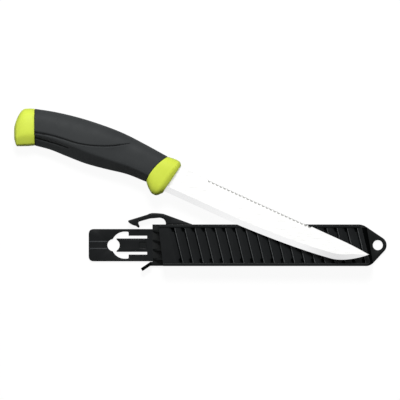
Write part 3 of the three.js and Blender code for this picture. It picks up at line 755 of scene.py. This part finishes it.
def handle_ring(x, middle, lean, half, thick, flank, bow=0):
    """One section of the handle. Its lower flanks run in from a crease, to a thinner foot."""
    lean = math.radians(lean)
    along = x + math.sin(lean) * half * RISE - bow * (1 - RISE ** 2)
    crease, foot, foot_thickness = flank
    flank = 1 - (1 - foot_thickness) * (-RISE - crease) / (foot - crease)
    side = -CREASE_SOFTNESS * np.logaddexp(-np.abs(SIDE) / CREASE_SOFTNESS, -flank / CREASE_SOFTNESS)
    side = np.sign(SIDE) * np.where(RISE < 0, np.minimum(np.maximum(side, 0), np.abs(SIDE)), np.abs(SIDE))
    return np.stack((along, middle + math.cos(lean) * half * RISE, thick * side), axis=1)


def fine_line(points):
    """A smooth line through a few points, as many points."""
    places = np.linspace(points[0, 0], points[-1, 0], LINE_POINTS)
    return places, np.array([smooth(points, place)[0] for place in places])


SIDE_LINES = (
    (fine_line(LEDGE), LEDGE_FADE, LEDGE_DROP),
    (fine_line(SHORT_GROOVE), SHORT_GROOVE_FADE, SHORT_GROOVE_DROP),
)


def line_width(along):
    """Half the width of a line's groove, which opens towards the butt."""
    return LINE_WIDTH + LINE_WIDENING * (1 - ease(along, *WIDENING_PLACES))


def carve(ring):
    """Sinks the ledge and the short groove into both sides of the sleeve."""
    along, height = ring[:, 0], ring[:, 1]
    depth = np.zeros(len(ring))
    for line, fade, drop in SIDE_LINES:
        away = height - np.interp(along, *line)
        cut = LINE_DEPTH * np.exp(-(away / line_width(along)) ** 2)
        cut += drop * np.where(away < 0, 1 - np.exp(away / DROP_SPREAD), 0)
        depth += cut * ease(along, *fade)
    ring[:, 2] -= np.sign(ring[:, 2]) * depth * np.abs(SIDE) ** 0.5
    return ring


def grip_ring(at, sink=0):
    middle, half, thick = smooth(GRIP_STATIONS, at)
    lean = GUARD_LEAN + (BUTT_LEAN - GUARD_LEAN) * at
    x = -GUARD_SETBACK - GUARD_LENGTH - at * GRIP_LENGTH
    flank = smooth(GRIP_FLANKS, at)
    bow = GUARD_BOW * max(0, 1 - at / BOW_REACH)
    return carve(handle_ring(x, middle, lean, half - sink, thick - sink, flank, bow))


def guard_ring(at, sink=0):
    middle, half, thick = smooth(GRIP_STATIONS, 0) + smooth(GUARD_CHANGES, at)
    lean = GUARD_LEAN + (GUARD_FACE_LEAN - GUARD_LEAN) * at
    x = -GUARD_SETBACK - (1 - at) * GUARD_LENGTH
    return handle_ring(x, middle, lean, half - sink, thick - sink, GUARD_FLANK, GUARD_BOW * (1 - at))


def butt_ring(at, sink=0):
    start = smooth(GRIP_STATIONS, 1)
    middle, half, thick = smooth(BUTT_CHANGES, at)
    lean = math.radians(BUTT_LEAN)
    along = at * BUTT_LENGTH
    x = -GUARD_SETBACK - GUARD_LENGTH - GRIP_LENGTH - along * math.cos(lean) + middle * math.sin(lean)
    y = start[0] + along * math.sin(lean) + middle * math.cos(lean)
    return handle_ring(x, y, BUTT_LEAN, start[1] + half - sink, start[2] + thick - sink, BUTT_FLANK)


def sleeve_shell():
    start = SLEEVE_GAP / GRIP_LENGTH
    edge = start + SLEEVE_EDGE / GRIP_LENGTH
    rings = [grip_ring(at) for at in np.linspace(edge, 1 - edge, SLEEVE_POINTS)]
    return loft([grip_ring(start, SLEEVE_EDGE_SINK)] + rings + [grip_ring(1 - start, SLEEVE_EDGE_SINK)])


def core_shell():
    """The guard and the butt. The bar between them is hidden in the sleeve."""
    guard = [guard_ring(0, GUARD_EDGE_SINK)]
    guard += [guard_ring(at) for at in np.linspace(GUARD_EDGE / GUARD_LENGTH, 1, CORE_POINTS)]
    guard.append(guard_ring(1, GUARD_FACE_SINK))
    butt = [butt_ring(place / BUTT_LENGTH, sink) for place, sink in BUTT_START]
    butt += [butt_ring(at) for at in np.linspace(BUTT_REST / BUTT_LENGTH, 1, CORE_POINTS)]
    return joined(loft(guard), loft(butt))


core = add_piece("handle_core_moulded", core_shell(), KNIFE, LIME, "knife", sharp=60)
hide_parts("handle_core")
sleeve = add_piece("grip_rubber", sleeve_shell(), KNIFE, RUBBER, "knife", sharp=60)
# Faces along the ledge and the short groove take a darker rubber, as painted shade
groove_shade_finish = add_finish(sleeve, GROOVE_SHADE)
for face in sleeve.data.polygons:
    along, height, side = to_knife @ face.center
    for line, (start, end), drop in SIDE_LINES:
        on_line = abs(height - np.interp(along, *line)) < DARK_WIDTH * line_width(along)
        if on_line and along < start + DARK_FADE * (end - start) and abs(side) > DARK_SIDE:
            face.material_index = groove_shade_finish
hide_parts("grip_sleeve")


# Sheath cover

def cover_section(along, top, pit=0, slope=RIB_SLOPE):
    """One section of the cover. A pit sinks its top near both sides."""
    inner = PANEL_HALF - COVER_WALL
    corner_y, corner_z = PANEL_HALF - PANEL_RADIUS, top - pit - PANEL_RADIUS
    right = arc((corner_y, corner_z), PANEL_RADIUS, 0, 90, CORNER_POINTS)
    crown = [(y, top - pit * ease(abs(y), *PIT_SIDES)) for y in CROWN]
    left = arc((-corner_y, corner_z), PANEL_RADIUS, 90, 180, CORNER_POINTS)
    outline = [(PANEL_HALF, COVER_BASE)] + right + crown + left + [(-PANEL_HALF, COVER_BASE)]
    outline += [(-inner, COVER_BASE), (-inner, COVER_ROOF), (inner, COVER_ROOF), (inner, COVER_BASE)]
    return [(along - slope * y, y, z) for y, z in outline]


def panel_shell():
    """The ribbed panel and the walls below it, from the mouth to the end wall."""
    rings = []
    for sink in (MOUTH_EDGE, 0):
        rings.append(cover_section(COVER_START + MOUTH_EDGE - sink, PANEL_TOP - sink, 0, MOUTH_SLOPE))
    for i in range(RIB_COUNT):
        step = RIB_START + i * RIB_PITCH
        deepest = PIT_DEPTH * (1 - PIT_LOSS * i / RIB_COUNT)
        for away, share in GROOVE_SECTION:
            pit = deepest * ease(away, *PIT_START) * (1 - ease(away, *PIT_END))
            rings.append(cover_section(step + away, PANEL_TOP - share * GROOVE_DEPTH, pit))
    rings.append(cover_section(COVER_END - COVER_WALL, PANEL_TOP))
    return loft(rings)


def end_wall_shell():
    """The wall behind the last rib, which slopes more on one side than on the other."""
    join = COVER_END - COVER_WALL
    rings = []
    for z, away in ((COVER_BASE, 0), (PANEL_TOP - END_EDGE_DROP, 0), (PANEL_TOP, END_EDGE_INSET)):
        down = (PANEL_TOP - z) / (PANEL_TOP - PLATE_THICKNESS)
        ends = [COVER_END - away + slope * down for slope in END_SLOPES]
        half = PANEL_HALF - away
        corners = [(join, -half), (ends[0], -half), (ends[1], half), (join, half)]
        rings.append([(along - RIB_SLOPE * y, y, z) for along, y in corners])
    return loft(rings)


def rim_section(side, along, slope, outer, top):
    inner = PANEL_HALF - HAIR
    centre_z = top - RIM_RADIUS
    section = [(inner, COVER_BASE)]
    section += arc((inner + RIM_RADIUS, centre_z), RIM_RADIUS, 180, 90, CORNER_POINTS)
    section += arc((outer - RIM_RADIUS, centre_z), RIM_RADIUS, 90, 0, CORNER_POINTS)
    section.append((outer, COVER_BASE))
    return [(along - slope * side * y, side * y, z) for y, z in section]


def rim_shell(side):
    """The raised rim on one side of the panel, which ends where the corner of the nose starts to curve in."""
    corner = NOSE_TOP_CORNER if side > 0 else NOSE_BOTTOM_CORNER
    end = corner[0] - NOSE_CORNER_RADIUS
    rings = []
    for sink in (RIM_MOUTH_EDGE, 0):
        start = COVER_START + RIM_MOUTH_EDGE - sink
        rings.append(rim_section(side, start, MOUTH_SLOPE, SHEATH_HALF, SHEATH_DEPTH - sink))
    for away, loss in RIM_END:
        rings.append(rim_section(side, end + away, 0, SHEATH_HALF - loss, SHEATH_DEPTH))
    return loft(rings)


cover_shell = joined(panel_shell(), end_wall_shell(), rim_shell(1), rim_shell(-1))
cover = add_piece("sheath_cover", cover_shell, SHEATH, BLACK, "sheath", sharp=34)
painted_shade_finish = add_finish(cover, PAINTED_SHADE)
rib_highlight_finish = add_finish(cover, RIB_HIGHLIGHT)
end_wall_shade_finish = add_finish(cover, END_WALL_SHADE)
to_sheath = SHEATH.inverted()
# Groove bottoms and pits take near-black as painted shade, the end wall darker plastic as painted shade, and
# the ribs' lit edges a painted highlight
for face in cover.data.polygons:
    middle = to_sheath @ face.center
    across = abs(middle.y)
    depth = (PANEL_TOP - middle.z) / GROOVE_DEPTH
    on_end_wall = middle.z > END_WALL_FOOT and face.normal.x > END_WALL_FACING
    on_rib_highlight = within(depth, RIB_EDGE_DEPTHS) and face.normal.x < RIB_EDGE_FACING
    if COVER_ROOF < middle.z < GROOVE_BOTTOM and across < GROOVE_HALF:
        face.material_index = painted_shade_finish
    elif on_end_wall and across < PANEL_FACE_HALF:
        face.material_index = end_wall_shade_finish
    elif on_rib_highlight and middle.x > RIB_EDGE_START and across < PANEL_FACE_HALF:
        face.material_index = rib_highlight_finish
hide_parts("sheath_front")


# Sheath plate, with its nose, rails and lip

def touch_angle(corner, side):
    """The direction from the nose's middle to where a line from the corner touches the nose, in degrees."""
    away = Vector(corner) - Vector(NOSE_CENTRE)
    return math.degrees(math.atan2(away.y, away.x) - side * math.acos(NOSE_RADIUS / away.length)) % 360


def plate_outline():
    top, bottom = touch_angle(NOSE_TOP_CORNER, 1), touch_angle(NOSE_BOTTOM_CORNER, -1) - 360
    nose = arc(NOSE_CENTRE, NOSE_RADIUS, bottom, top, NOSE_POINTS)
    corners = []
    for corner, touch in ((NOSE_BOTTOM_CORNER, nose[0]), (NOSE_TOP_CORNER, nose[-1])):
        along = (corner[0] - NOSE_CORNER_RADIUS, corner[1])
        up = Vector(corner) + (Vector(touch) - Vector(corner)).normalized() * NOSE_CORNER_RADIUS
        corners.append(bend(along, corner, up))
    foot = [(0, -STRAP_HALF - SEAM), (-LIP_FOOT, -STRAP_HALF - SEAM), (-LIP_FOOT, -SHEATH_HALF)]
    return foot + corners[0] + nose + corners[1][::-1] + [(0, SHEATH_HALF)]


def rail_shell(y):
    """A rail that carries the blade, with a ramp at the mouth."""
    end = COVER_END - RIB_SLOPE * y - COVER_WALL - RAIL_END_GAP
    profile = [(RAIL_START, RAIL_FOOT), (end, RAIL_FOOT), (end, RAIL_TOP), (RAIL_RAMP, RAIL_TOP),
               RAIL_KNEE, (RAIL_START, PLATE_THICKNESS)]
    return loft([[(x, y + side, z) for x, z in profile] for side in (-RAIL_WIDTH / 2, RAIL_WIDTH / 2)])


def lip_shell():
    """A wall that flares outwards below the mouth."""
    lean = math.radians(LIP_ANGLE)
    along = Vector((-math.cos(lean), -math.sin(lean)))
    across = Vector((-math.sin(lean), math.cos(lean))) * LIP_THICKNESS / 2
    start = Vector((-LIP_FOOT, -SHEATH_HALF + LIP_THICKNESS / 2))
    root, end = start - along * LIP_THICKNESS / 2, start + along * LIP_LENGTH
    outline = [(root - across, LIP_ROOT_RADIUS), (root + across, LIP_ROOT_RADIUS),
               (end + across, LIP_END_RADIUS), (end - across, LIP_END_RADIUS)]
    return slab([rounded(outline, CORNER_POINTS)], HAIR, LIP_DEPTH, LIP_EDGE)


lanyard_hole = arc(NOSE_CENTRE, NOSE_HOLE_RADIUS, 360, 0, HOLE_POINTS)[:-1]
plate_shell = slab([plate_outline(), lanyard_hole], 0, PLATE_THICKNESS, PLATE_EDGE)
plate_shell = joined(plate_shell, lip_shell(), *(rail_shell(y) for y in RAIL_PLACES))
plate = add_piece("sheath_plate", plate_shell, SHEATH, PLATE, "sheath", sharp=50)
painted_shade_finish = add_finish(plate, PAINTED_SHADE)
# The lip above the plate's top takes near-black, as painted shade
for face in plate.data.polygons:
    middle = to_sheath @ face.center
    if middle.x < LIP_SHADE_START and middle.z > PLATE_THICKNESS:
        face.material_index = painted_shade_finish
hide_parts("sheath_back")


# Button strap and tongue. Each is one moulding with what carries it, and is cut across near its root.

def wing(side):
    """One side of the keyhole, from the round hole to the tongue's root."""
    corner = (WING_END, WING_OUTER)
    points = arc(BUTTON_HOLE, BUTTON_HOLE_RADIUS, *WING_ANGLES, WING_POINTS)
    points += bend(*WING_CURVE, WING_POINTS)
    entry, leave = (WING_END - WING_CORNER, WING_OUTER), (WING_END, WING_OUTER - WING_CORNER)
    points += bend(entry, corner, leave, WING_CORNER_POINTS)
    points += [(WING_END, SLOT_OUTER), (TONGUE_ROOT, SLOT_OUTER)]
    return [(x, side * y) for x, y in points]


def strap_shell():
    outline = rounded([
        ((-STRAP_LENGTH, STRAP_HALF), STRAP_CORNER),
        ((-STRAP_LENGTH, -STRAP_HALF), STRAP_CORNER),
        ((ROOT_OVERLAP, -STRAP_HALF), ROOT_CORNER),
        ((ROOT_OVERLAP, STRAP_HALF), ROOT_CORNER),
    ])
    keyhole = wing(1) + wing(-1)[::-1][:-1]
    return slab([outline, keyhole], HAIR, STRAP_THICKNESS, STRAP_EDGE)


def bead_shell(y):
    ridge = arc((0, 0), 1, 0, 180, RIDGE_POINTS)
    base = STRAP_THICKNESS - HAIR
    rings = []
    for x, share in BEAD_PROFILE:
        rings.append([(x, y + BEAD_HALF * across, base + BEAD_HEIGHT * share * up) for across, up in ridge])
    return loft(rings)


def tongue_shell():
    """Two layers, of which the upper one has the recess cut through it."""
    root = TONGUE_ROOT + ROOT_OVERLAP
    bottom, top = TONGUE_LEVELS
    mouth_radius = BUTTON_HOLE_RADIUS + TONGUE_MOUTH_GAP
    outline = [(root, -TONGUE_HALF), (root, TONGUE_HALF), (TONGUE_TIP, TONGUE_HALF)]
    outline += arc(BUTTON_HOLE, mouth_radius, TONGUE_MOUTH_ANGLE, -TONGUE_MOUTH_ANGLE, TONGUE_MOUTH_POINTS)
    outline.append((TONGUE_TIP, -TONGUE_HALF))
    far, near = RECESS_ENDS
    corners = [(far, RECESS_HALF), (near, RECESS_HALF), (near, -RECESS_HALF), (far, -RECESS_HALF)]
    recess = rounded([(corner, RECESS_CORNER) for corner in corners], RECESS_CORNER_POINTS)
    lower_layer = slab([outline], bottom, RECESS_FLOOR, TONGUE_EDGE)
    upper_layer = slab([outline, recess], RECESS_FLOOR - RECESS_LAP, top, TONGUE_EDGE)
    return joined(lower_layer, upper_layer)


strap_and_beads = joined(strap_shell(), *(bead_shell(y) for y in BEAD_PLACES))
strap = add_piece("strap_moulding", strap_and_beads, SHEATH, BLACK, cuts=STRAP_CUTS, sharp=50)
bead_highlight_finish = add_finish(strap, BEAD_HIGHLIGHT)
for face in strap.data.polygons:
    if (to_sheath @ face.center).z > BEAD_HIGHLIGHT_LEVEL:
        face.material_index = bead_highlight_finish
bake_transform(strap)
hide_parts("belt_strap")

tongue = add_piece("tongue_moulding", tongue_shell(), SHEATH, BLACK, cuts=TONGUE_CUTS, sharp=50)
painted_shade_finish = add_finish(tongue, PAINTED_SHADE)
recess_floor_shade_finish = add_finish(tongue, PLATE)
# The recess's walls take near-black and its floor the darker plate plastic, both as painted shade
for face in tongue.data.polygons:
    middle = to_sheath @ face.center
    in_plan = within(middle.x, RECESS_SHADE_ENDS) and abs(middle.y) < RECESS_SHADE_HALF
    if in_plan and within(middle.z, RECESS_SHADE_LEVELS):
        face.material_index = painted_shade_finish if abs(face.normal.z) < WALL_FACING else recess_floor_shade_finish
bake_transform(tongue)
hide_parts("button_tongue")


# Latch, from its ramp beside the rim to its barb

def latch_outline():
    outline = [(x, SHEATH_HALF + HAIR) for x in LATCH_ROOT]
    outline += bend(*LATCH_RAMP, LATCH_RAMP_POINTS) + bend(*LATCH_TOP)[1:] + bend(*LATCH_SHOULDER)[1:]
    outline += [LATCH_ARM_END] + bend(*LATCH_TIP) + bend(*LATCH_SWEEP)
    outline += LATCH_BARB
    outline += bend(*LATCH_THROAT) + [LATCH_UNDERSIDE] + bend(*LATCH_INNER_BEND)
    return outline


latch_shell = slab([latch_outline()], 0, LATCH_DEPTH, LATCH_EDGE)
latch = add_piece("latch_moulding", latch_shell, SHEATH, BLACK, cuts=LATCH_CUTS, sharp=50)
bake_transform(latch)
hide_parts("latch_hook")


# Floor, light and camera

def seen_strength(nodes, links, unseen, seen):
    """One strength where a surface is seen or mirrored, and another where it only gives light."""
    path = nodes.new("ShaderNodeLightPath")
    rays = [path.outputs[ray] for ray in ("Is Camera Ray", "Is Glossy Ray", "Is Transmission Ray")]
    for ray in rays[1:]:
        either = nodes.new("ShaderNodeMath")
        either.operation = "MAXIMUM"
        links.new(rays[0], either.inputs[0])
        links.new(ray, either.inputs[1])
        rays[0] = either.outputs[0]
    strength = nodes.new("ShaderNodeMapRange")
    strength.inputs["To Min"].default_value = unseen
    strength.inputs["To Max"].default_value = seen
    links.new(rays[0], strength.inputs["Value"])
    return strength.outputs["Result"]


def add_floor():
    sides = ((-1, -1), (1, -1), (1, 1), (-1, 1))
    corners = [(x * FLOOR_HALF, y * FLOOR_HALF, -FLOOR_GAP) for x, y in sides]
    mesh = bpy.data.meshes.new("floor")
    mesh.from_pydata(corners, [], [(0, 1, 2, 3)])
    surface = Surface("floor_paper", FLOOR_ROUGHNESS, specular=0)
    surface.colour(surface.noise(FLOOR_SCALE), *FLOOR_TONES)
    surface.shader.inputs["Emission Color"].default_value = (1, 1, 1, 1)
    glow = seen_strength(surface.nodes, surface.links, 0, FLOOR_GLOW)
    surface.links.new(glow, surface.shader.inputs["Emission Strength"])
    mesh.materials.append(surface.material)
    floor = bpy.data.objects.new("floor", mesh)
    scene.collection.objects.link(floor)


def add_light(name, place, size, power):
    lamp = bpy.data.lights.new(name, "AREA")
    lamp.shape = "DISK"
    lamp.size = size
    lamp.energy = power
    light = bpy.data.objects.new(name, lamp)
    light.location = place
    light.rotation_euler = (-Vector(place)).to_track_quat("-Z", "Y").to_euler()
    scene.collection.objects.link(light)


def add_world():
    """White where it is seen or mirrored, and dimmer as a light."""
    world = bpy.data.worlds.new("studio")
    world.use_nodes = True
    nodes, links = world.node_tree.nodes, world.node_tree.links
    shade = nodes["Background"]
    links.new(seen_strength(nodes, links, WORLD_GLOW, 1), shade.inputs["Strength"])
    shade.inputs["Color"].default_value = (1, 1, 1, 1)
    scene.world = world


def add_camera():
    lens = bpy.data.cameras.new("camera")
    lens.sensor_width = SENSOR_WIDTH
    lens.lens = SENSOR_WIDTH * (CAMERA_HEIGHT - PHOTO_LEVEL) / PHOTO_WIDTH
    lens.clip_end = CLIP_METRES
    camera = bpy.data.objects.new("camera", lens)
    camera.location = SHEATH @ Vector((*PHOTO_MIDDLE, CAMERA_HEIGHT))
    scene.collection.objects.link(camera)
    scene.camera = camera


add_floor()
add_world()
for light in LIGHTS:
    add_light(*light)
add_camera()
scene.view_settings.view_transform = "Standard"
